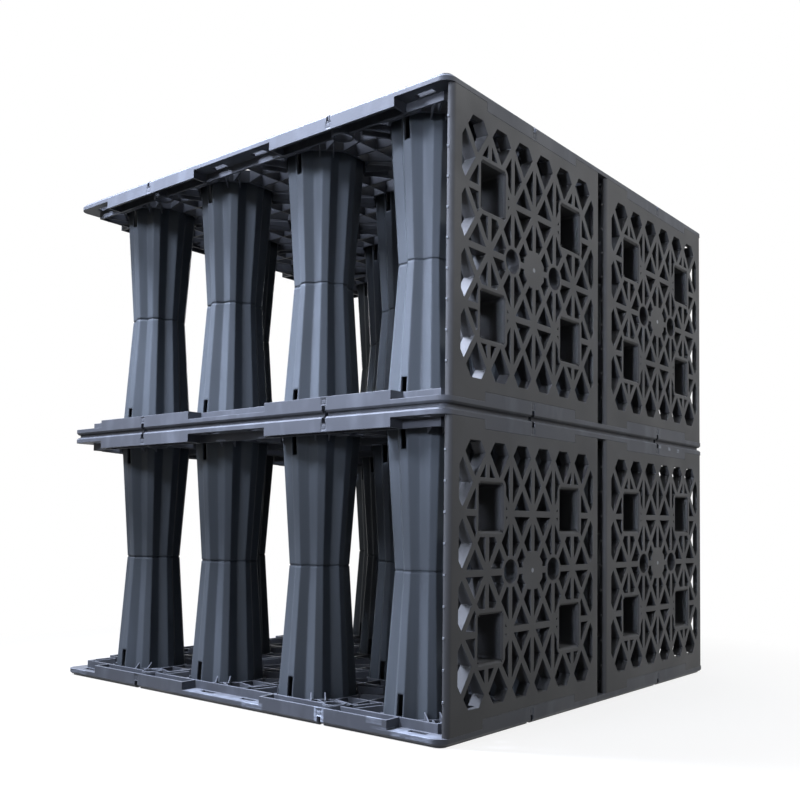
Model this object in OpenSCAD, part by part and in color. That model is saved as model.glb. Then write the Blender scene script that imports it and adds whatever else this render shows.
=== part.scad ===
// Soakaway crate block: two nested tiers of decks and hollow columns, with lattice panels on the front face.
// Millimetres, +Z up, origin at the centre of the ground face, panels toward -Y.

/* [Block] */
// Width of one panel bay, half the length of a face
bay = 600; // [580:10:660]
// Height of one tier
tier_h = 610; // [560:10:700]

/* [Deck rim] */
// Height of the raised rim between the cut-outs
rim_h = 35; // [32:1:40]
// Height of the rim strip inside the cut-outs
strip_h = 17; // [14:1:20]
// Length of the cut-out at each end of a bay
cutout = 127; // [110:1:140]
// Radius of the outer deck corners
corner_r = 24; // [20:1:32]
// Thickness of the rim and of the inner wall
wall = 5; // [4:0.5:6]
// Height of the set-back foot below the rim
foot_h = 4; // [2:0.5:6]
// Set-back of the foot from the rim face
foot_in = 9; // [6:0.5:10]
// Slope along the rim's edge above the foot
rim_edge = 4; // [2:0.5:4]
// Width of the notch in the middle of a bay
notch_w = 10; // [6:1:14]
// Width of the shallow niche above the notch
niche_w = 16; // [14:1:24]
// Depth of the niche
niche_d = 2; // [1:0.5:3]

/* [Panel seat] */
// Depth of the seat from the rim face to the inner wall
seat = 37; // [34:1:42]
// Thickness of the ledge the panels stand on
ledge_t = 5; // [3:0.5:8]
// Length of a ledge window
window_l = 42; // [30:1:50]
// Width of a ledge window
window_w = 14; // [10:1:18]
// Distance of a window from the middle of the face
window_mid = 66; // [50:1:85]
// Distance of a window from the corner of the deck
window_end = 72; // [65:1:85]
// Depth of the round socket behind a notch, from the rim face to its axis
socket_in = 45; // [42:1:48]
// Outer radius of that socket
socket_r = 24; // [18:1:27]
// Bore radius of that socket
socket_bore = 19; // [12:1:20]

/* [Deck grid] */
// Thickness of the deck ribs
rib = 4; // [3:0.5:6]
// Height of the deck ribs
rib_h = 28; // [20:1:31]
// Thickness of the floor under a column
floor_t = 6; // [4:0.5:9]
// Radius of the drain hole in that floor
drain_r = 40; // [25:1:50]
// Wall of the socket round a column
collar = 4; // [3:0.5:6]

/* [Columns] */
// Distance from the axis to a lobe face at the deck
lobe_r = 86; // [78:1:90]
// Distance from the axis to a lobe face at the waist
waist_r = 65; // [56:1:70]
// Width of a lobe face at the deck
lobe_w = 19; // [14:1:24]
// Depth of the grooves as a share of the lobe radius
groove = 0.15; // [0.1:0.01:0.2]
// Wall of a column at the deck
column_wall = 5; // [4.5:0.5:7]
// Width of the snap slot
slot_w = 14; // [8:1:18]
// Top of the snap slot above the deck
slot_top = 70; // [50:1:90]
// Height of the set-in spigot where two half columns meet
seam_h = 4; // [2:0.5:6]
// Set-back of the spigot from the column's face
seam_in = 1.5; // [1:0.25:2]

/* [Side panels] */
// Gap from the bay edge to the panel edge
panel_gap = 15.5; // [10:0.5:24]
// Thickness of the plain border
skin = 12; // [9:1:16]
// Depth of the lattice bars
lattice_d = 25; // [18:1:35]
// Width of a lattice bar
bar = 12.5; // [8:0.5:14]
// Lap of the lattice bars into the border
field_lap = 5; // [3:0.5:8]
// Distance between upright bars
mesh_x = 81.5; // [78:0.5:84]
// Distance between level bars
mesh_z = 112.5; // [108:0.5:118]
// Half width of the open lattice field
field_x = 255; // [251:1:260]
// Half height of the open lattice field
field_z = 247; // [242:1:258]
// Radius of the rounded upright edges
edge_r = 10; // [5:1:12]
// Width of a sleeve opening
sleeve_w = 79; // [60:1:84]
// Height of a sleeve opening
sleeve_h = 90; // [70:1:98]
// Wall of a sleeve
sleeve_t = 6; // [4:0.5:8]
// Width of the flat frame round a sleeve opening
frame_w = 11; // [9:0.5:13]
// Slope cut round a sleeve opening
mouth = 4; // [2:0.5:6]
// Corner radius of a sleeve opening
sleeve_r = 7; // [4:0.5:12]
// Height of a sleeve above or below the panel's middle
sleeve_z = 123; // [118:1:130]
// Radius of the round holes
hole_r = 24; // [16:1:28]
// Wall of the ring round a hole
ring_t = 7; // [5:0.5:10]
// Width of the solid centre across its flats
disc_w = 76; // [50:1:86]
// Reach of the small teeth on the upright edges
tooth = 4; // [2:0.5:6]

/* [Hidden] */
$fn = 96;
fit = 0.5;
half = bay;
pitch = bay / 2;
column_h = tier_h / 2 - floor_t;
taper = waist_r / lobe_r;
bore = lobe_r + fit;
collar_r = bore + collar;
raised = pitch - cutout;
inner = half - seat;
window_in = (foot_in + wall + seat) / 2;
panel_x = pitch - panel_gap;
panel_low = strip_h;
panel_mid = rim_h + fit;
step_x = raised + fit;
sleeve_top = sleeve_z + sleeve_h / 2 + sleeve_t;
sleeve_d = pitch / 2 - lobe_r + (lobe_r - waist_r) * (column_h - sleeve_top) / column_h - fit;
deck_grey = [0.24, 0.26, 0.29];
column_grey = [0.30, 0.33, 0.37];
panel_grey = [0.27, 0.27, 0.27];

// Polygon helpers

// Left-hand unit normal of the step from p to q, pointing into a counter-clockwise outline
function inward(p, q) = [p[1] - q[1], q[0] - p[0]] / norm(q - p);

// Outline moved inward by its own distance on each side
function inset(pts, by) = [
  for (i = [0 : len(pts) - 1])
    let (n = len(pts), p = pts[(i + n - 1) % n], q = pts[i], r = pts[(i + 1) % n])
    let (a = inward(p, q), b = inward(q, r), s = by[(i + n - 1) % n], t = by[i], c = a[0] * b[1] - a[1] * b[0])
    q + [s * b[1] - t * a[1], t * a[0] - s * b[0]] / c
];

// The same distance on every side
function all_sides(pts, t) = [for (p = pts) t];

// Point turned about the origin
function turned(p, a) = [p[0] * cos(a) - p[1] * sin(a), p[0] * sin(a) + p[1] * cos(a)];

// Outline with its points in the other order
function reversed(pts) = [for (i = [len(pts) - 1 : -1 : 0]) pts[i]];

// Outline mirrored by the signs in s and kept counter-clockwise
function signed(pts, s) =
  let (m = [for (p = pts) [p[0] * s[0], p[1] * s[1]]])
  s[0] * s[1] > 0 ? m : reversed(m);

// Outline shifted by v
function shifted(pts, v) = [for (p = pts) p + v];

// All points of a list of outlines in one list
function joined(loops) = [for (l = loops) for (p = l) p];

// Number of points before outline i
function before(loops, i) = i == 0 ? 0 : before(loops, i - 1) + len(loops[i - 1]);

// One face with the first outline as its edge and the others as its holes
module face(loops) {
  polygon(
    joined(loops),
    [for (i = [0 : len(loops) - 1]) let (b = before(loops, i)) [for (k = [0 : len(loops[i]) - 1]) b + k]]
  );
}

// Rectangle with round corners about the origin
module rounded(x, y, r) {
  square([x - 2 * r, y], center = true);
  square([x, y - 2 * r], center = true);
  for (i = [-1, 1], k = [-1, 1])
    translate([i * (x / 2 - r), k * (y / 2 - r)])
      circle(r);
}

// Deck

function box2(x, y) = [[-x, -y], [x, -y], [x, y], [-x, y]];

function octagon(a) = let (t = a * tan(22.5)) [
  [a, -t], [a, t], [t, a], [-t, a], [-a, t], [-a, -t], [-t, -a], [t, -a]
];

// Reach of the ribs round a column toward one side: half a pitch, or up to the inner wall at the edge
function reach(c, s) = abs(c) > pitch && c * s > 0 ? inner - wall - abs(c) : pitch / 2;

// Openings in the quarter of a column bay that lies toward the signs in s
function quarter_cells(c, s) =
  let (x = reach(c[0], s[0]), y = reach(c[1], s[1]), a = collar_r, t = a * tan(22.5), d = a * sqrt(0.5))
  let (half_rib = rib / 2)
  [
    for (cell = [
      [x - a > 4 * rib, [[a, 0], [x, 0], [x, y / 2], [a, t]]],
      [true, [[a, t], [x, y / 2], [x, y], [d, d]]],
      [true, [[d, d], [x, y], [x / 2, y], [t, a]]],
      [y - a > 4 * rib, [[t, a], [x / 2, y], [0, y], [0, a]]]
    ])
      if (cell[0]) shifted(signed(inset(cell[1], all_sides(cell[1], half_rib)), s), c)
  ];

centres = [for (i = [-1.5 : 1 : 1.5]) i * pitch];

grid_cells = [
  for (x = centres, y = centres, i = [-1, 1], k = [-1, 1])
    for (cell = quarter_cells([x, y], [i, k])) cell
];

sockets = [for (x = centres, y = centres) shifted(octagon(bore), [x, y])];

// Ribs between the columns, with the column sockets left open
module deck_grid() {
  linear_extrude(rib_h)
    face(concat([box2(inner - wall / 2, inner - wall / 2)], grid_cells, sockets));
}

// Floors the columns stand on, each with its drain hole
module deck_floors() {
  for (x = centres, y = centres)
    translate([x, y, 0])
      linear_extrude(floor_t)
        difference() {
          polygon(octagon(bore + collar / 2));
          circle(drain_r);
        }
}

// Wall between the panel seat and the grid
module deck_inner_wall() {
  linear_extrude(rim_h)
    face([box2(inner, inner), box2(inner - wall, inner - wall)]);
}

// Outline of the deck, drawn in by t
module deck_outline(t) {
  rounded(2 * (half - t), 2 * (half - t), corner_r - t);
}

// Low strip that runs right round the deck, with its set-back foot
module deck_strip() {
  translate([0, 0, foot_h])
    linear_extrude(strip_h - foot_h)
      difference() {
        deck_outline(0);
        deck_outline(wall);
      }
  linear_extrude(strip_h)
    difference() {
      deck_outline(foot_in);
      deck_outline(foot_in + wall);
    }
}

// Ledge between the strip and the inner wall, with its windows
module deck_ledge() {
  translate([0, 0, strip_h - ledge_t])
    linear_extrude(ledge_t)
      difference() {
        deck_outline(wall / 2);
        square(2 * inner - wall, center = true);
        for (a = [0 : 90 : 270])
          rotate(a)
            for (x = [-half + window_end, -window_mid, window_mid, half - window_end])
              translate([x, -half + window_in])
                square([window_l, window_w], center = true);
      }
}

// Raised rim of one bay along -Y: outer wall, end walls and the round socket behind the notch
module raised_rim() {
  translate([-raised, -half, foot_h])
    cube([2 * raised, wall, rim_h - foot_h]);
  for (x = [-raised, raised - wall])
    translate([x, -half, strip_h - ledge_t])
      cube([wall, seat + wall / 2, rim_h - strip_h + ledge_t]);
  translate([0, -half + socket_in, strip_h - ledge_t])
    cylinder(h = rim_h - strip_h + ledge_t, r = socket_r);
}

// Notch through the rim of one bay, with the niche above it and the bore of the round socket
module notch() {
  translate([-notch_w / 2, -half - 1, -1])
    cube([notch_w, wall + foot_in + 2, strip_h + 1]);
  translate([-niche_w / 2, -half - 1, strip_h])
    cube([niche_w, niche_d + 1, rim_h - strip_h - 2]);
  translate([0, -half + socket_in, -1])
    cylinder(h = rim_h + 2, r = socket_bore);
}

// Cross-section of the slope, taken off a rim whose face is at x = r
module slope_section(r) {
  polygon([[r - rim_edge - 1, foot_h - 1], [r + 1, foot_h - 1], [r + 1, foot_h + rim_edge + 1]]);
}

// Slope round the whole rim: a straight run on each side and a turn at each corner
module rim_slope() {
  for (a = [0 : 90 : 270])
    rotate(a) {
      translate([corner_r - half, 0, 0])
        rotate([90, 0, 90])
          linear_extrude(2 * (half - corner_r))
            slope_section(half);
      translate([half - corner_r, half - corner_r, 0])
        rotate_extrude(angle = 90)
          slope_section(corner_r);
    }
}

// Places a thing in all eight bays of a deck
module in_bays() {
  for (a = [0 : 90 : 270], x = [-pitch, pitch])
    rotate(a)
      translate([x, 0, 0])
        children();
}

module deck() {
  color(deck_grey)
    difference() {
      union() {
        deck_grid();
        deck_floors();
        deck_inner_wall();
        deck_strip();
        deck_ledge();
        in_bays() raised_rim();
      }
      in_bays() notch();
      rim_slope();
    }
}

// Columns

star = let (v = lobe_r * (1 - groove)) [
  for (a = [0 : 45 : 315])
    for (p = [[lobe_r, -lobe_w / 2], [lobe_r, lobe_w / 2], v * [cos(22.5), sin(22.5)]])
      turned(p, a)
];

// Share of its size at the deck that a column has at height h
function narrowed(h) = 1 + (taper - 1) * h / column_h;

// Hollow column up to height h, standing on its wide end, with its two snap slots
module column_shell(h) {
  difference() {
    linear_extrude(h, scale = narrowed(h))
      face([star, inset(star, all_sides(star, column_wall))]);
    for (a = [0, 180])
      rotate(a)
        translate([lobe_r - 2.5 * column_wall, -slot_w / 2, -1])
          cube([3 * column_wall, slot_w, slot_top - floor_t + 1]);
  }
}

// Set-in ring on top of a shell of height h, which goes into the end of the column above
module column_spigot(h) {
  k = narrowed(h);
  translate([0, 0, h])
    linear_extrude(column_h - h)
      face([inset(k * star, all_sides(star, seam_in)), inset(k * star, all_sides(star, k * column_wall - fit))]);
}

// Half column with a spigot at its waist, or without
module half_column(spigot) {
  h = spigot ? column_h - seam_h : column_h;
  column_shell(h);
  if (spigot)
    column_spigot(h);
}

// Row of four half columns along X, standing on a base deck
module column_row(row, spigot) {
  color(column_grey)
    for (x = centres)
      translate([x, centres[row], floor_t])
        half_column(spigot);
}

// Side panel, drawn standing in its bay with its face at y = 0 and its middle at z = 0

// Outline with its four stepped corners
panel_outline =
  let (x = panel_x, s = step_x, z = tier_h / 2 - panel_low, m = tier_h / 2 - panel_mid)
  [
    [-x, -z], [-s, -z], [-s, -m], [s, -m], [s, -z], [x, -z],
    [x, z - fit], [s, z - fit], [s, m], [-s, m], [-s, z - fit], [-x, z - fit]
  ];

// Triangles left and right of an upright bar
function upright_cells(x, z) = [
  for (s = [-1, 1])
    let (t = [[0, 0], [mesh_x / 2, mesh_z / 2], [0, mesh_z]])
    shifted(signed(inset(t, all_sides(t, bar / 2)), [s, 1]), [x, z])
];

// Triangles above and below a level bar
function level_cells(x, z) = [
  for (s = [-1, 1])
    let (t = [[-mesh_x / 2, 0], [mesh_x / 2, 0], [0, mesh_z / 2]])
    shifted(signed(inset(t, all_sides(t, bar / 2)), [1, s]), [x, z])
];

// Cut diamonds of the top and bottom rows
function end_cells(x) = [
  for (s = [-1, 1])
    let (h = field_z - 2 * mesh_z, c = mesh_x / 2 - h * mesh_x / mesh_z)
    let (t = [[0, -mesh_z / 2], [mesh_x / 2, 0], [c, h], [-c, h], [-mesh_x / 2, 0]])
    shifted(signed(inset(t, [bar / 2, bar / 2, 0, bar / 2, bar / 2]), [1, s]), [x, s * 2 * mesh_z])
];

// Cut diamonds down both sides
function side_cells(z) = [
  for (s = [-1, 1])
    let (w = field_x - 3 * mesh_x, h = mesh_z / 2, c = h - w * mesh_z / mesh_x)
    let (t = [[-mesh_x / 2, 0], [0, -h], [w, -c], [w, c], [0, h]])
    shifted(signed(inset(t, [bar / 2, bar / 2, 0, bar / 2, bar / 2]), [s, 1]), [s * 3 * mesh_x, z + h])
];

lattice_cells = concat(
  [for (i = [-2 : 2], k = [-2 : 1]) for (c = upright_cells(i * mesh_x, k * mesh_z)) c],
  [for (i = [-2.5 : 1 : 2.5], k = [-1 : 1]) for (c = level_cells(i * mesh_x, k * mesh_z)) c],
  [for (i = [-2.5 : 1 : 2.5]) for (c = end_cells(i * mesh_x)) c],
  [for (k = [-2 : 1]) for (c = side_cells(k * mesh_z)) c]
);

// Turns a drawing in the panel's face into a solid that reaches back from the face
module reach_back(d) {
  translate([0, d, 0])
    rotate([90, 0, 0])
      linear_extrude(d)
        children();
}

module in_corners() {
  for (x = [-1, 1], z = [-1, 1])
    translate([x * pitch / 2, z * sleeve_z])
      children();
}

// Slope along one edge of a sleeve opening, at r from its middle and l long
module mouth_cut(r, l) {
  translate([0, 0, -l / 2])
    linear_extrude(l)
      polygon([[r - 1, -1], [r + mouth + 1, -1], [r - 1, mouth + 1]]);
}

// Slopes along the four edges of every sleeve opening
module mouth_cuts() {
  for (x = [-1, 1], z = [-1, 1], a = [0, 180])
    translate([x * pitch / 2, 0, z * sleeve_z]) {
      rotate([0, a, 0]) mouth_cut(sleeve_w / 2, sleeve_h);
      rotate([0, a + 90, 0]) mouth_cut(sleeve_h / 2, sleeve_w);
    }
}

// Rounding taken off an upright front edge
module edge_cut() {
  translate([panel_x - edge_r, 0, -tier_h / 2])
    linear_extrude(tier_h)
      difference() {
        translate([0, -1])
          square([edge_r + 1, edge_r + 1]);
        translate([0, edge_r])
          circle(edge_r);
      }
}

// Small pointed teeth down an upright edge
module edge_teeth() {
  for (k = [-4 : 4])
    translate([0, 0, k * mesh_z / 2 - 2])
      linear_extrude(4)
        polygon([[panel_x - tooth, skin - 6], [panel_x + tooth, skin - 2], [panel_x - tooth, skin]]);
}

// Border plate with its rounded upright edges and teeth
module panel_border() {
  difference() {
    reach_back(skin)
      face([panel_outline, box2(field_x + field_lap / 2, field_z + field_lap / 2)]);
    edge_cut();
    mirror([1, 0, 0]) edge_cut();
  }
  edge_teeth();
  mirror([1, 0, 0]) edge_teeth();
}

// Bars of the lattice, which stand free behind the border
module panel_bars() {
  difference() {
    reach_back(lattice_d)
      face(concat([box2(field_x + field_lap, field_z + field_lap)], lattice_cells));
    translate([0, skin, 0])
      reach_back(lattice_d)
        face([box2(panel_x, panel_x), box2(field_x - 1, field_z - 1)]);
  }
}

// Lattice with its frames, rings and centre, before the openings are cut
module panel_field() {
  panel_bars();
  reach_back(lattice_d) {
    polygon(octagon(disc_w / 2));
    for (x = [-mesh_x, mesh_x])
      translate([x, 0])
        circle(hole_r + ring_t);
    in_corners() rounded(sleeve_w + 2 * frame_w, sleeve_h + 2 * frame_w, sleeve_r + frame_w);
  }
  reach_back(sleeve_d)
    in_corners() rounded(sleeve_w + 2 * sleeve_t, sleeve_h + 2 * sleeve_t, sleeve_r + sleeve_t);
}

module panel() {
  color(panel_grey)
    difference() {
      union() {
        panel_border();
        panel_field();
      }
      translate([0, -1, 0])
        reach_back(sleeve_d + 2)
          in_corners() rounded(sleeve_w, sleeve_h, sleeve_r);
      mouth_cuts();
      translate([0, -1, 0])
        reach_back(lattice_d + 2)
          for (x = [-mesh_x, mesh_x])
            translate([x, 0])
              circle(hole_r);
    }
}

// Placing

// Puts a child in tier n; the second of a pair is turned over to hang from the top of the tier
module in_tier(n, upside_down) {
  translate([0, 0, (n - 1) * tier_h + (upside_down ? tier_h : 0)])
    rotate([upside_down ? 180 : 0, 0, 0])
      children();
}

module panel_at(n, side) {
  translate([side * pitch, -half, (n - 0.5) * tier_h])
    panel();
}

module t1_base_deck() { in_tier(1, false) deck(); }
module t1_top_deck() { in_tier(1, true) deck(); }
module t2_base_deck() { in_tier(2, false) deck(); }
module t2_top_deck() { in_tier(2, true) deck(); }

module lower_row(n, row) { in_tier(n, false) column_row(row - 1, true); }
module upper_row(n, row) { in_tier(n, true) column_row(4 - row, false); }

t1_base_deck();
t1_top_deck();
t2_base_deck();
t2_top_deck();
lower_row(1, 1);  // t1_lower_columns_row1
lower_row(1, 2);  // t1_lower_columns_row2
lower_row(1, 3);  // t1_lower_columns_row3
lower_row(1, 4);  // t1_lower_columns_row4
upper_row(1, 1);  // t1_upper_columns_row1
upper_row(1, 2);  // t1_upper_columns_row2
upper_row(1, 3);  // t1_upper_columns_row3
upper_row(1, 4);  // t1_upper_columns_row4
lower_row(2, 1);  // t2_lower_columns_row1
lower_row(2, 2);  // t2_lower_columns_row2
lower_row(2, 3);  // t2_lower_columns_row3
lower_row(2, 4);  // t2_lower_columns_row4
upper_row(2, 1);  // t2_upper_columns_row1
upper_row(2, 2);  // t2_upper_columns_row2
upper_row(2, 3);  // t2_upper_columns_row3
upper_row(2, 4);  // t2_upper_columns_row4
panel_at(1, -1);  // t1_panel_left
panel_at(1, 1);  // t1_panel_right
panel_at(2, -1);  // t2_panel_left
panel_at(2, 1);  // t2_panel_right
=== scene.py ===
# %% [markdown]
# # Soakaway crate block
# This lesson dresses a packed block of soakaway crates: two tiers of moulded decks, hollow fluted columns
# and lattice side panels. The solids come from the construction drawing and are never moved, so every step
# below only adds the fine pieces a drawing leaves out, the plastic's finish, the light and the camera.

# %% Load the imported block
import math

import bpy
from mathutils import Matrix, Vector


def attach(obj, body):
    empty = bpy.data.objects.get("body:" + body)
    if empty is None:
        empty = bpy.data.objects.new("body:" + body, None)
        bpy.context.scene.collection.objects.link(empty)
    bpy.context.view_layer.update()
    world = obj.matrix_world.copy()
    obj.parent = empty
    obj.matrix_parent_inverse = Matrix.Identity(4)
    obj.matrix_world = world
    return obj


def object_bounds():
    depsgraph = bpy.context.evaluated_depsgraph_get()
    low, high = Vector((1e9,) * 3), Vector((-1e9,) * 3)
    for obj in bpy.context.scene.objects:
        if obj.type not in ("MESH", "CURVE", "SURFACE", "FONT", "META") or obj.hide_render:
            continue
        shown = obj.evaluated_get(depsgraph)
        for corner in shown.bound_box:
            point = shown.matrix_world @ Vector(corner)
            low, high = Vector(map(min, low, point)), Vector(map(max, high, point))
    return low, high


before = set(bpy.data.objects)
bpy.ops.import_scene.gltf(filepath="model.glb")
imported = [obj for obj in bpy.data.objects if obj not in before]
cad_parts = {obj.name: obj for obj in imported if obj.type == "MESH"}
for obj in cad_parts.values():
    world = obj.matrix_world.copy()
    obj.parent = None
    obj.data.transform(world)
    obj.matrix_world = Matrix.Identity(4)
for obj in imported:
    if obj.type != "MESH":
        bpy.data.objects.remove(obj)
block_low, block_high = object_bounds()
print("block from", list(block_low), "to", list(block_high), "in", len(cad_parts), "nodes")

# %% [markdown]
# ## The module
# Crates are moulded to a module, so that any of them fits any other. A block is two tiers high, and four
# columns stand along each side. Both sizes are read from the solids in metres, and the decks, columns and
# panels are found by them below.

# %% Read the module from the block's size
TIER = round((block_high[2] - block_low[2]) / 2, 4)
PITCH = round((block_high[0] - block_low[0]) / 4, 4)
HALF = 2 * PITCH
print("tier", TIER, "m high, columns", PITCH, "m apart")

# %% [markdown]
# ## Camera
# The photographer stood in front of the near upright corner, a little below the middle of the block, and
# kept the camera almost level so that the uprights stay upright. A camera can be aimed with a constraint,
# but here its axes are written down, because the view was measured and has to come out the same every
# time. The small upward shift of the frame does what the crop of a level photograph does.

# %% Place the camera
PICTURE_WIDTH = 800
FOCAL_PIXELS = 929.4
SENSOR_MM = 36.0
HORIZON_DROP_PIXELS = 78.4

camera_place = Vector((-1.9207, -1.5815, 0.3963))
to_the_right = Vector((0.63366, -0.77352, 0.01189)).normalized()
straight_on = Vector((0.77232, 0.63341, 0.04812)).normalized()
upward = to_the_right.cross(straight_on)

camera = bpy.data.objects.new("camera", bpy.data.cameras.new("camera"))
camera.data.sensor_width = SENSOR_MM
camera.data.lens = SENSOR_MM * FOCAL_PIXELS / PICTURE_WIDTH
camera.data.shift_y = HORIZON_DROP_PIXELS / PICTURE_WIDTH
axes = Matrix((to_the_right, upward, -straight_on)).transposed().to_4x4()
camera.matrix_world = Matrix.Translation(camera_place) @ axes
bpy.context.scene.collection.objects.link(camera)
bpy.context.scene.camera = camera
print("camera", round(camera.data.lens, 2), "mm lens, shift", round(camera.data.shift_y, 3))

# %% [markdown]
# ## Colours, patterns and nodes
# Colours are written as hex values, the way a paint chart gives them, while the renderer works in
# linear light, so one function turns the one into the other. A second gives the scale of a pattern from
# its real size: object coordinates are metres here, so a pattern of 10 mm has 100 cells to the metre. A
# third adds a node, sets its values and links its inputs, which keeps every material below readable from
# top to bottom, and a fourth starts an empty material.

# %% Helpers for materials
def linear(hex_colour):
    """RGBA in linear light of an sRGB colour such as "#4A4D52"."""
    channels = [int(hex_colour[i:i + 2], 16) / 255 for i in (1, 3, 5)]
    return [c / 12.92 if c <= 0.04045 else ((c + 0.055) / 1.055) ** 2.4 for c in channels] + [1.0]


def per_metre(size_mm):
    """Scale of a pattern whose cells have this size in millimetres."""
    return 1000 / size_mm


def add_node(tree, kind, links=None, values=None, **settings):
    """A new node with its settings, its input values and the sockets linked to its inputs."""
    node = tree.nodes.new(kind)
    for setting, value in settings.items():
        setattr(node, setting, value)
    for key, value in (values or {}).items():
        node.inputs[key].default_value = value
    for key, socket in (links or {}).items():
        tree.links.new(socket, node.inputs[key])
    return node


def new_material(name):
    """An empty node material and its tree."""
    material = bpy.data.materials.new(name)
    material.use_nodes = True
    material.node_tree.nodes.clear()
    return material, material.node_tree


# %% [markdown]
# ## Floor and backdrop
# The block stands in plain white space. A white sheet would throw light up into the decks, which the real
# yard did not, so floor and backdrop are white only where the camera or a reflection looks at them, and
# dim where they pass light on. The Light Path node tells the two apart.

# %% Tell what is looked at from what only passes light on
def looked_at(tree):
    """A socket that is 1 for the camera, reflections and see-through things, and 0 for other light."""
    path = add_node(tree, "ShaderNodeLightPath")
    seen = path.outputs["Is Camera Ray"]
    for ray in ("Is Glossy Ray", "Is Transmission Ray"):
        larger = add_node(tree, "ShaderNodeMath", {0: seen, 1: path.outputs[ray]}, operation="MAXIMUM")
        seen = larger.outputs[0]
    return seen


# %% [markdown]
# ### Floor
# The floor is a large plane painted matt white. Far from the block its white is an even glow, as on an
# overexposed studio floor, and close to the block it keeps part of its own shading, so that the block's
# shadow still lies on it.

# %% Lay the floor
FLOOR_SIZE = 40.0
FLOOR_DROP = 0.0005
GLOW_STARTS = 0.6
GLOW_IS_FULL = 1.5
GLOW_NEAR_THE_BLOCK = 0.82

bpy.ops.object.select_all(action="DESELECT")
bpy.ops.mesh.primitive_plane_add(size=FLOOR_SIZE, location=(0, 0, -FLOOR_DROP))
floor = bpy.context.object
floor.name = "floor"
floor_paint, tree = new_material("floor white paint")
place = add_node(tree, "ShaderNodeTexCoord")
reach = add_node(tree, "ShaderNodeVectorMath", {0: place.outputs["Object"]}, operation="LENGTH")
fade = add_node(tree, "ShaderNodeMapRange", {"Value": reach.outputs["Value"]},
                {"From Min": GLOW_STARTS, "From Max": GLOW_IS_FULL,
                 "To Min": GLOW_NEAR_THE_BLOCK, "To Max": 1.0})
seen = looked_at(tree)
share = add_node(tree, "ShaderNodeMath", {0: seen, 1: fade.outputs["Result"]}, operation="MULTIPLY")
tone = add_node(tree, "ShaderNodeMix", {"Factor": seen}, {"A": linear("#2C2C2C"), "B": linear("#F4F4F4")},
                data_type="RGBA")
matt = add_node(tree, "ShaderNodeBsdfDiffuse", {"Color": tone.outputs["Result"]})
white = add_node(tree, "ShaderNodeEmission", values={"Color": (1, 1, 1, 1), "Strength": 1.0})
mixed = add_node(tree, "ShaderNodeMixShader", {0: share.outputs[0], 1: matt.outputs[0], 2: white.outputs[0]})
add_node(tree, "ShaderNodeOutputMaterial", {"Surface": mixed.outputs[0]})
floor.data.materials.append(floor_paint)
print("floor", FLOOR_SIZE, "m across")

# %% [markdown]
# ### Backdrop
# The backdrop is the world itself, so it has no corner and no edge. To the eye it is white, and onto the
# block it sheds only a faint blue, the light of an open sky that reaches into every gap.

# %% Surround the block with white
SKY_STRENGTH = 0.04

world = bpy.data.worlds.new("pale studio")
world.use_nodes = True
bpy.context.scene.world = world
tree = world.node_tree
tree.nodes.clear()
ambient = add_node(tree, "ShaderNodeBackground",
                   values={"Color": linear("#A9BEE6"), "Strength": SKY_STRENGTH})
backdrop = add_node(tree, "ShaderNodeBackground", values={"Color": (1, 1, 1, 1), "Strength": 1.0})
mixed = add_node(tree, "ShaderNodeMixShader",
                 {0: looked_at(tree), 1: ambient.outputs[0], 2: backdrop.outputs[0]})
add_node(tree, "ShaderNodeOutputWorld", {"Surface": mixed.outputs[0]})
bpy.context.scene.view_settings.view_transform = "Standard"
print("world", world.name)

# %% [markdown]
# ## Light
# Daylight falls on the open side steeply from the upper left and is a little blue, so that the lower
# halves of the columns, which lean back, are brighter than the upper halves, which lean forward. The light
# fades from top to bottom, so the main lamp hangs above the block and not far from it, and a weaker one
# stands farther to the left. The panelled side gets only a weak neutral light, and a narrow beam that runs
# along it and catches the edges that face left. The sides that the photograph hides get a plain fill from
# behind. Each lamp has a spread, the angle to which its beam is narrowed, as the flaps beside a studio
# lamp would narrow it.

# %% Hang the lamps
SKY_BLUE = "#DCE6FF"
STUDIO_WHITE = "#F8FAFF"


def hang_lamp(name, place, aim, width, height, watts, hex_colour, spread):
    """A soft area lamp at one place that faces another, its beam narrowed to the spread in degrees."""
    lamp = bpy.data.objects.new(name, bpy.data.lights.new(name, "AREA"))
    lamp.data.shape = "RECTANGLE"
    lamp.data.size = width
    lamp.data.size_y = height
    lamp.data.spread = math.radians(spread)
    lamp.data.energy = watts
    lamp.data.color = linear(hex_colour)[:3]
    direction = Vector(aim) - Vector(place)
    turn = direction.to_track_quat("-Z", "Y").to_matrix().to_4x4()
    lamp.matrix_world = Matrix.Translation(place) @ turn
    bpy.context.scene.collection.objects.link(lamp)
    print(name, watts, "W")


hang_lamp("sky from the left", (-1.05, 0.5, 2.65), (-0.6, -0.08, 0.95), 0.4, 1.2, 80, SKY_BLUE, 86)
hang_lamp("low sky on the left", (-2.9, 0.3, 2.2), (-0.6, -0.2, 1.15), 1.5, 0.6, 10, SKY_BLUE, 48)
hang_lamp("sky along the front", (-4.0, -1.2, 1.2), (0.2, -0.98, 0.65), 0.5, 0.5, 5, SKY_BLUE, 30)
hang_lamp("fill from the front", (0.7, -2.1, 2.0), (0.2, -0.6, 0.7), 1.8, 1.6, 24, STUDIO_WHITE, 180)
hang_lamp("fill from behind", (2.2, 2.2, 1.7), (0.3, 0.3, 0.7), 1.8, 1.6, 45, STUDIO_WHITE, 180)

# %% [markdown]
# ### Scrim
# The lamp over the left side also shines down on the top deck, and through its open cells onto the ribs,
# which in the photograph lie in the dark. A photographer holds such light back with a scrim, a dark net on
# a frame. This one lies just over the top deck, passes a small share of the light, and the camera looks
# straight through.

# %% Lay the scrim over the top deck
SCRIM_MARGIN = 0.02
SCRIM_GAP = 0.015
SCRIM_SHARE = 0.12

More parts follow.
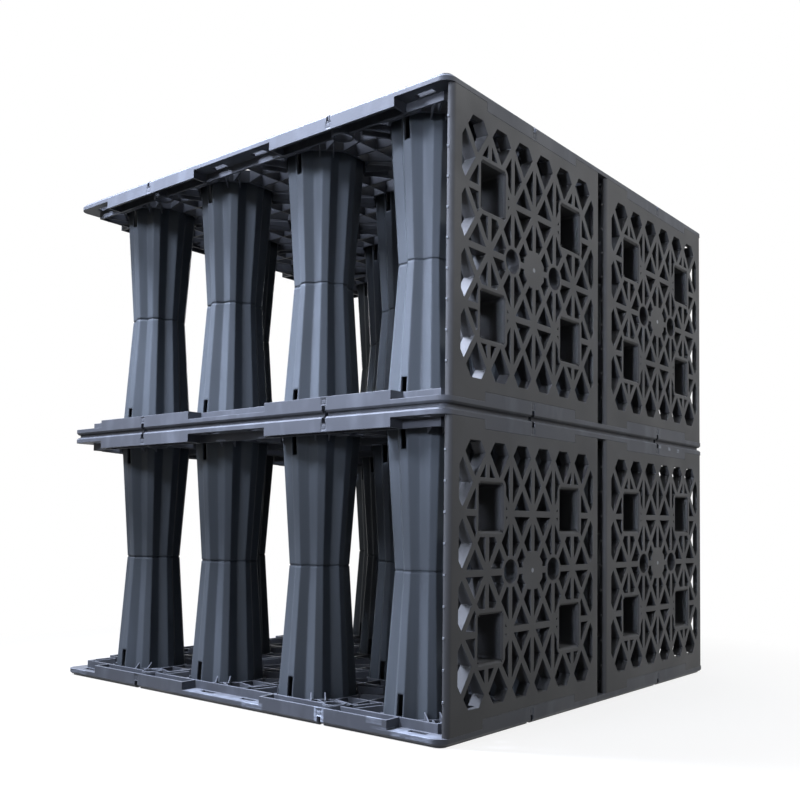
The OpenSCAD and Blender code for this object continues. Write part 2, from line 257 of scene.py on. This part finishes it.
bpy.ops.object.select_all(action="DESELECT")
bpy.ops.mesh.primitive_plane_add(size=2 * (HALF - SCRIM_MARGIN), location=(0, 0, 2 * TIER + SCRIM_GAP))
scrim = bpy.context.object
scrim.name = "scrim"
net, tree = new_material("scrim net")
passed = add_node(tree, "ShaderNodeMix", {"Factor": looked_at(tree)},
                  {"A": [SCRIM_SHARE] * 3 + [1.0], "B": (1, 1, 1, 1)}, data_type="RGBA")
through = add_node(tree, "ShaderNodeBsdfTransparent", {"Color": passed.outputs["Result"]})
add_node(tree, "ShaderNodeOutputMaterial", {"Surface": through.outputs[0]})
scrim.data.materials.append(net)
print("scrim passes", SCRIM_SHARE)

# %% [markdown]
# ## Plastic
# Every piece of the block is moulded from recycled polypropylene coloured with carbon black. Three things
# give such plastic away: the shade drifts a little where the batch was not mixed through, the melt leaves
# faint streaks along its way, and rubbing turns edges pale, because polypropylene whitens when it is bent
# or scratched. The pale edges are also a painted highlight, standing in for light caught on their rounding.
# The mould's texture makes it dull, so it shows a soft sheen and no clear reflections. One function mixes
# it, and each kind of piece gets its own shade, its own streaks and its own rounding of the edges.

# %% Mix the plastic that all pieces share
SHADE_DRIFT_MM = 142.9
DUST_MM = 28.6
RUB_AND_HIGHLIGHT_MM = 18.2
# The mould's grain is about half a millimetre and is drawn coarser, because it would not show
GRAIN_MM = 3.85


def moulded_polypropylene(name, body, drift, pale_and_highlight, streak_mm, rounding):
    """The material of one kind of piece, its node tree and its shader, whose colour can still be marked."""
    material, tree = new_material(name)
    here = add_node(tree, "ShaderNodeTexCoord").outputs["Object"]

    # The shade drifts over hands' breadths
    cloud = add_node(tree, "ShaderNodeTexNoise", {"Vector": here},
                     {"Scale": per_metre(SHADE_DRIFT_MM), "Detail": 3.0})
    shade = add_node(tree, "ShaderNodeMix", {"Factor": cloud.outputs["Fac"]},
                     {"A": linear(body), "B": linear(drift)}, data_type="RGBA")

    # Streaks run along the way of the melt
    along = add_node(tree, "ShaderNodeMapping", {"Vector": here},
                     {"Scale": [per_metre(size) for size in streak_mm]})
    streak = add_node(tree, "ShaderNodeTexNoise", {"Vector": along.outputs[0]},
                      {"Scale": 1.0, "Detail": 2.0})
    streak_share = add_node(tree, "ShaderNodeMapRange", {"Value": streak.outputs["Fac"]},
                            {"From Min": 0.5, "From Max": 0.8, "To Min": 0.0, "To Max": 0.25})
    streaked = add_node(tree, "ShaderNodeMix",
                        {"Factor": streak_share.outputs[0], "A": shade.outputs["Result"]},
                        {"B": linear(pale_and_highlight)}, data_type="RGBA")

    # Fine dust lies on what faces up
    surface = add_node(tree, "ShaderNodeNewGeometry")
    facing = add_node(tree, "ShaderNodeSeparateXYZ", {0: surface.outputs["Normal"]})
    dust_noise = add_node(tree, "ShaderNodeTexNoise", {"Vector": here},
                          {"Scale": per_metre(DUST_MM), "Detail": 4.0})
    dust_share = add_node(tree, "ShaderNodeMapRange", {"Value": facing.outputs["Z"]},
                          {"From Min": 0.5, "From Max": 1.0, "To Min": 0.0, "To Max": 0.05})
    dust = add_node(tree, "ShaderNodeMath", {0: dust_share.outputs[0], 1: dust_noise.outputs["Fac"]},
                    operation="MULTIPLY")
    dusty = add_node(tree, "ShaderNodeMix", {"Factor": dust.outputs[0], "A": streaked.outputs["Result"]},
                     {"B": linear("#8E9298")}, data_type="RGBA")

    # Where the rounded normal leaves the flat one there is an edge; edges are rubbed pale and carry a painted
    # highlight
    rounded = add_node(tree, "ShaderNodeBevel", values={"Radius": rounding}, samples=6)
    likeness = add_node(tree, "ShaderNodeVectorMath", {0: rounded.outputs[0], 1: surface.outputs["Normal"]},
                        operation="DOT_PRODUCT")
    edge = add_node(tree, "ShaderNodeMapRange", {"Value": likeness.outputs["Value"]},
                    {"From Min": 0.99, "From Max": 0.75, "To Min": 0.0, "To Max": 1.0})
    rub_and_highlight_noise = add_node(tree, "ShaderNodeTexNoise", {"Vector": here},
                         {"Scale": per_metre(RUB_AND_HIGHLIGHT_MM), "Detail": 3.0})
    rub_and_highlight = add_node(tree, "ShaderNodeMapRange", {"Value": rub_and_highlight_noise.outputs["Fac"]},
                   {"From Min": 0.42, "From Max": 0.68, "To Min": 0.1, "To Max": 0.8})
    rubbed_and_highlight_share = add_node(tree, "ShaderNodeMath", {0: edge.outputs[0], 1: rub_and_highlight.outputs[0]},
                            operation="MULTIPLY")
    # Pale edge colour: rubbed wear and a painted highlight in one
    rubbed_and_highlit = add_node(tree, "ShaderNodeMix",
                      {"Factor": rubbed_and_highlight_share.outputs[0], "A": dusty.outputs["Result"]},
                      {"B": linear(pale_and_highlight)}, data_type="RGBA")

    # The spark-eroded mould leaves a grain, and the dull sheen varies with the shade
    grain = add_node(tree, "ShaderNodeTexNoise", {"Vector": here},
                     {"Scale": per_metre(GRAIN_MM), "Detail": 2.0})
    bump = add_node(tree, "ShaderNodeBump", {"Height": grain.outputs["Fac"], "Normal": rounded.outputs[0]},
                    {"Strength": 0.12, "Distance": 0.001})
    dullness = add_node(tree, "ShaderNodeMapRange", {"Value": cloud.outputs["Fac"]},
                        {"From Min": 0.3, "From Max": 0.7, "To Min": 0.42, "To Max": 0.6})
    shader = add_node(tree, "ShaderNodeBsdfPrincipled",
                      {"Base Color": rubbed_and_highlit.outputs["Result"], "Roughness": dullness.outputs[0],
                       "Normal": bump.outputs[0]}, {"IOR": 1.49, "Specular IOR Level": 0.18})
    add_node(tree, "ShaderNodeOutputMaterial", {"Surface": shader.outputs[0]})
    print(name)
    return material, tree, shader


def mark(tree, shader, share, hex_colour):
    """Lays a pale mark over the shader's colour wherever the share socket says so."""
    before = shader.inputs["Base Color"].links[0].from_socket
    marked = add_node(tree, "ShaderNodeMix", {"Factor": share, "A": before}, {"B": linear(hex_colour)},
                      data_type="RGBA")
    tree.links.new(marked.outputs["Result"], shader.inputs["Base Color"])


# %% [markdown]
# ### Columns
# The melt ran up the long columns, so their streaks are drawn out along the height. Their lobes are well
# rounded on the real moulding, so the Bevel node rounds their edges for the light more than it does on the
# other pieces, which also widens the pale edges, rubbing and painted highlight together.

# %% Mix the plastic of the columns
column_plastic = moulded_polypropylene(
    "injection-moulded polypropylene, column", "#51565A", "#5A5F64", "#6E747B", (22.2, 22.2, 400.0), 0.006)[0]

# %% [markdown]
# ### Scuffs and painted highlights on the decks
# The decks are dragged over the ground and against each other, so their rims carry whitish scratches. Each
# mark is a box with a middle, half its size and a strength, and a stretched noise breaks it up into
# scratches. The first is the frame of one notch, rubbed pale all round and brightened as a painted
# highlight, and two thin lines along the top edge of the low rim are painted highlights too.

# %% Mix the plastic of the decks
SCRATCH_MM = (16.7, 25.0, 5.26)
RIM_SCUFFS_AND_HIGHLIGHTS = [
    # The frame of one notch, rubbed pale and brightened as a painted highlight
    ((-0.600, -0.300, 0.0175), (0.006, 0.0140, 0.0185), 1.40),
    # Whitish scratches
    ((-0.600, -0.442, 0.0300), (0.004, 0.0210, 0.0065), 0.35),
    ((-0.600, -0.530, 0.0100), (0.003, 0.0500, 0.0090), 0.45),
    # Two thin lines along the top edge of the low rim, painted highlights
    ((-0.588, -0.510, 0.0175), (0.014, 0.0800, 0.0030), 0.30),
    ((-0.590, 0.000, 0.0175), (0.012, 0.1250, 0.0030), 0.20),
    # More whitish scratches, and three smears at the joint on the panelled side
    ((-0.600, -0.105, 0.0120), (0.004, 0.0350, 0.0110), 0.50),
    ((-0.600, 0.550, 0.0120), (0.004, 0.0450, 0.0090), 0.35),
    ((0.315, -0.600, 0.5980), (0.008, 0.0030, 0.0050), 0.50),
    ((0.372, -0.600, 0.5960), (0.008, 0.0030, 0.0050), 0.50),
    ((0.428, -0.600, 0.5940), (0.008, 0.0030, 0.0050), 0.50),
]
deck_plastic, tree, shader = moulded_polypropylene(
    "injection-moulded polypropylene, deck", "#525458", "#5C5E63", "#8B8F96", (41.7, 41.7, 111.1), 0.0016)
here = add_node(tree, "ShaderNodeTexCoord").outputs["Object"]
stretched = add_node(tree, "ShaderNodeMapping", {"Vector": here},
                     {"Scale": [per_metre(size) for size in SCRATCH_MM]})
scratch = add_node(tree, "ShaderNodeTexNoise", {"Vector": stretched.outputs[0]},
                   {"Scale": 1.0, "Detail": 3.0})
scratched = add_node(tree, "ShaderNodeMapRange", {"Value": scratch.outputs["Fac"]},
                     {"From Min": 0.4, "From Max": 0.6, "To Min": 0.35, "To Max": 1.0})
# Each box lays a pale mark: a scratch, and at the notch frame and the two thin lines a painted highlight
for middle, half_size, strength in RIM_SCUFFS_AND_HIGHLIGHTS:
    # A point is inside the box where its largest offset, as a share of the half size, is under 1
    offset = add_node(tree, "ShaderNodeVectorMath", {0: here}, {1: middle}, operation="SUBTRACT")
    apart = add_node(tree, "ShaderNodeVectorMath", {0: offset.outputs[0]}, operation="ABSOLUTE")
    ratio = add_node(tree, "ShaderNodeVectorMath", {0: apart.outputs[0]}, {1: half_size}, operation="DIVIDE")
    axis = add_node(tree, "ShaderNodeSeparateXYZ", {0: ratio.outputs[0]})
    level = add_node(tree, "ShaderNodeMath", {0: axis.outputs["X"], 1: axis.outputs["Y"]},
                     operation="MAXIMUM")
    largest = add_node(tree, "ShaderNodeMath", {0: level.outputs[0], 1: axis.outputs["Z"]},
                       operation="MAXIMUM")
    inside = add_node(tree, "ShaderNodeMapRange", {"Value": largest.outputs[0]},
                      {"From Min": 0.8, "From Max": 1.0, "To Min": strength, "To Max": 0.0})
    share = add_node(tree, "ShaderNodeMath", {0: inside.outputs[0], 1: scratched.outputs[0]},
                     operation="MULTIPLY")
    mark(tree, shader, share.outputs[0], "#B4BAC4")
print("scuffs", len(RIM_SCUFFS_AND_HIGHLIGHTS))

# %% [markdown]
# ### Marks on the panels
# Two small marks sit on each panel. The melt entered at the middle of the panel, where the broken gate left
# a pale dot, and the teeth down the outer left edge have a painted highlight, a pale glint at their tips.
# All four panels share one material, so for the dot the object coordinates are folded about the block's
# middle lines.

# %% Mix the plastic of the panels
TOOTH_IN = 0.015
GATE_RADIUS = 0.0055

panel_plastic, tree, shader = moulded_polypropylene(
    "injection-moulded polypropylene, panel", "#4A4A4A", "#525252", "#6C6E70", (111.1, 111.1, 111.1), 0.0016)
here = add_node(tree, "ShaderNodeTexCoord").outputs["Object"]
place = add_node(tree, "ShaderNodeSeparateXYZ", {0: here})
# A painted highlight: the tips of the teeth glint pale
tooth_tip_glint = add_node(tree, "ShaderNodeMath", {0: place.outputs["X"]}, {1: TOOTH_IN - HALF},
                     operation="LESS_THAN")
mark(tree, shader, tooth_tip_glint.outputs[0], "#C4C8CE")

sideways = add_node(tree, "ShaderNodeMath", {0: place.outputs["X"]}, operation="ABSOLUTE")
across = add_node(tree, "ShaderNodeMath", {0: sideways.outputs[0]}, {1: PITCH}, operation="SUBTRACT")
over_joint = add_node(tree, "ShaderNodeMath", {0: place.outputs["Z"]}, {1: TIER}, operation="SUBTRACT")
from_joint = add_node(tree, "ShaderNodeMath", {0: over_joint.outputs[0]}, operation="ABSOLUTE")
up = add_node(tree, "ShaderNodeMath", {0: from_joint.outputs[0]}, {1: TIER / 2}, operation="SUBTRACT")
spot = add_node(tree, "ShaderNodeCombineXYZ", {"X": across.outputs[0], "Z": up.outputs[0]})
away = add_node(tree, "ShaderNodeVectorMath", {0: spot.outputs[0]}, operation="LENGTH")
gate = add_node(tree, "ShaderNodeMapRange", {"Value": away.outputs["Value"]},
                {"From Min": 0.6 * GATE_RADIUS, "From Max": GATE_RADIUS, "To Min": 0.7, "To Max": 0.0})
mark(tree, shader, gate.outputs[0], "#B9BCC0")

# %% [markdown]
# ## Painting the solids
# Each solid of the block takes the plastic of its kind. The names of the nodes tell the kinds apart, and
# the meshes themselves stay as they were built.

# %% Give each solid its plastic
for name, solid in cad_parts.items():
    finish = deck_plastic if "deck" in name else panel_plastic if "panel" in name else column_plastic
    solid.data.materials.clear()
    solid.data.materials.append(finish)
print("plastics on", len(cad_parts), "solids")

# %% [markdown]
# ## Where the fine pieces go
# The four decks are one moulding used four times: two lie flat and two are turned over to close a tier. A
# piece is therefore modelled once, as it stands on a deck that lies flat at the ground, and each copy is
# moved to its place on each deck by one matrix.

# %% List the decks and copy a piece onto them
turned_over = Matrix.Rotation(math.pi, 4, "X")
decks = {
    "t1_base_deck": Matrix.Translation((0, 0, 0)),
    "t1_top_deck": Matrix.Translation((0, 0, TIER)) @ turned_over,
    "t2_base_deck": Matrix.Translation((0, 0, TIER)),
    "t2_top_deck": Matrix.Translation((0, 0, 2 * TIER)) @ turned_over,
}
column_centres = [(i - 1.5) * PITCH for i in range(4)]
bays = [Matrix.Rotation(math.radians(90 * side), 4, "Z") @ Matrix.Translation((x, -HALF, 0))
        for side in range(4) for x in (-PITCH, PITCH)]


def copy_onto_decks(master, name, places, finish):
    """One joined object for each deck with a copy of the master at each place; the master is removed."""
    master.data.materials.append(finish)
    for deck, deck_matrix in decks.items():
        copies = []
        for place in places:
            copy = master.copy()
            copy.data = master.data.copy()
            copy.data.transform(deck_matrix @ place)
            bpy.context.scene.collection.objects.link(copy)
            copies.append(copy)
        bpy.ops.object.select_all(action="DESELECT")
        for copy in copies:
            copy.select_set(True)
        bpy.context.view_layer.objects.active = copies[0]
        bpy.ops.object.join()
        joined = bpy.context.object
        joined.name = name + "_" + deck
        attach(joined, "root")
    print(name, len(places), "to a deck,", len(joined.data.polygons), "faces")
    bpy.data.objects.remove(master)


# %% [markdown]
# ## Socket fins
# Each column drops into a socket of the deck, and pairs of low fins beside its corner ribs brace the
# socket. A fin is a thin upright blade whose top falls away from the column. A boolean could cut the
# slope, but a bisect with one plane does the same with clean faces, and a bevel then takes the sharpness
# off.

# %% Model one fin and set eight round each column
SOCKET = 0.0868
FIN_LENGTH = 0.056
FIN_THICK = 0.0028
FIN_FOOT = 0.024
FIN_TOP = 0.042
FIN_FALL = 0.006
FIN_APART = 0.029
FIN_BEVEL = 0.0006

bpy.ops.object.select_all(action="DESELECT")
bpy.ops.mesh.primitive_cube_add(size=1.0)
fin = bpy.context.object
fin.name = "socket fin"
bpy.ops.object.mode_set(mode="EDIT")
bpy.ops.mesh.select_all(action="SELECT")
bpy.ops.transform.resize(value=(FIN_LENGTH, FIN_THICK, FIN_TOP - FIN_FOOT))
bpy.ops.transform.translate(value=(SOCKET + FIN_LENGTH / 2, 0, (FIN_TOP + FIN_FOOT) / 2))
bpy.ops.mesh.bisect(plane_co=(SOCKET, 0, FIN_TOP), plane_no=(FIN_FALL, 0, FIN_LENGTH),
                    use_fill=True, clear_outer=True)
bpy.ops.mesh.select_all(action="SELECT")
bpy.ops.mesh.bevel(offset=FIN_BEVEL, segments=1)
bpy.ops.object.mode_set(mode="OBJECT")

fin_places = []
for x in column_centres:
    for y in column_centres:
        for quarter in range(4):
            for side in (-1, 1):
                turn = Matrix.Rotation(math.radians(45 + 90 * quarter), 4, "Z")
                aside = Matrix.Translation((0, side * FIN_APART / 2, 0))
                fin_places.append(Matrix.Translation((x, y, 0)) @ turn @ aside)
copy_onto_decks(fin, "socket_fins", fin_places, deck_plastic)

# %% [markdown]
# ## Socket lips
# Behind each notch of the rim stands a short tube that takes a locating peg, and its mouth ends in a thin
# rounded lip that catches the light. A torus would be too round, so a small upright square is bevelled and
# spun about the axis.

# %% Model one lip and set one behind each notch
LIP_RADIUS = 0.0215
LIP_WIDTH = 0.0032
LIP_FOOT = 0.0345
LIP_BEVEL = 0.0009
LIP_STEPS = 24
SOCKET_IN = 0.045
MERGE = 0.00005

bpy.ops.object.select_all(action="DESELECT")
bpy.ops.mesh.primitive_plane_add(size=LIP_WIDTH, location=(LIP_RADIUS, 0, LIP_FOOT + LIP_WIDTH / 2),
                                 rotation=(math.pi / 2, 0, 0))
lip = bpy.context.object
lip.name = "socket lip"
bpy.ops.object.transform_apply(location=True, rotation=True, scale=True)
bpy.ops.object.mode_set(mode="EDIT")
bpy.ops.mesh.select_all(action="SELECT")
bpy.ops.mesh.bevel(offset=LIP_BEVEL, segments=1, affect="VERTICES")
bpy.ops.mesh.select_all(action="SELECT")
bpy.ops.mesh.delete(type="ONLY_FACE")
bpy.ops.mesh.select_all(action="SELECT")
bpy.ops.mesh.spin(steps=LIP_STEPS, angle=2 * math.pi, center=(0, 0, 0), axis=(0, 0, 1))
bpy.ops.mesh.select_all(action="SELECT")
bpy.ops.mesh.remove_doubles(threshold=MERGE)
bpy.ops.mesh.normals_make_consistent(inside=False)
bpy.ops.object.mode_set(mode="OBJECT")
bpy.ops.object.shade_smooth_by_angle(angle=math.radians(35))

lip_places = [bay @ Matrix.Translation((0, SOCKET_IN, 0)) for bay in bays]
copy_onto_decks(lip, "socket_lips", lip_places, deck_plastic)

# %% [markdown]
# ## Notch plates
# Above each notch a small framed plate closes the rim, so that a connector pushed in from the front finds
# an edge to grip. It is a thin block whose front is inset and pushed back, which leaves the frame
# standing, and a low pad is raised again in the middle.

# %% Model one plate and set one above each notch
NICHE_WIDTH = 0.016
NICHE_DEPTH = 0.002
NICHE_FOOT = 0.017
NICHE_TOP = 0.033
NICHE_PLAY = 0.0004
FRAME_WIDTH = 0.0032
FRAME_STANDS = 0.0012
PAD_INSET = 0.0014
PAD_STANDS = 0.0006

bpy.ops.object.select_all(action="DESELECT")
bpy.ops.mesh.primitive_cube_add(size=1.0)
plate = bpy.context.object
plate.name = "notch plate"
bpy.ops.object.mode_set(mode="EDIT")
bpy.ops.mesh.select_all(action="SELECT")
bpy.ops.transform.resize(value=(NICHE_WIDTH - NICHE_PLAY, NICHE_DEPTH - NICHE_PLAY / 2,
                                NICHE_TOP - NICHE_FOOT - NICHE_PLAY))
bpy.ops.transform.translate(value=(0, NICHE_DEPTH / 2, (NICHE_TOP + NICHE_FOOT) / 2))
bpy.ops.mesh.select_mode(type="FACE")
bpy.ops.mesh.select_all(action="DESELECT")
bpy.ops.object.mode_set(mode="OBJECT")
for polygon in plate.data.polygons:
    polygon.select = polygon.normal.y < -0.9
bpy.ops.object.mode_set(mode="EDIT")
bpy.ops.mesh.inset(thickness=FRAME_WIDTH)
bpy.ops.transform.translate(value=(0, FRAME_STANDS, 0))
bpy.ops.mesh.inset(thickness=PAD_INSET)
bpy.ops.transform.translate(value=(0, -PAD_STANDS, 0))
bpy.ops.object.mode_set(mode="OBJECT")
copy_onto_decks(plate, "notch_plates", bays, deck_plastic)
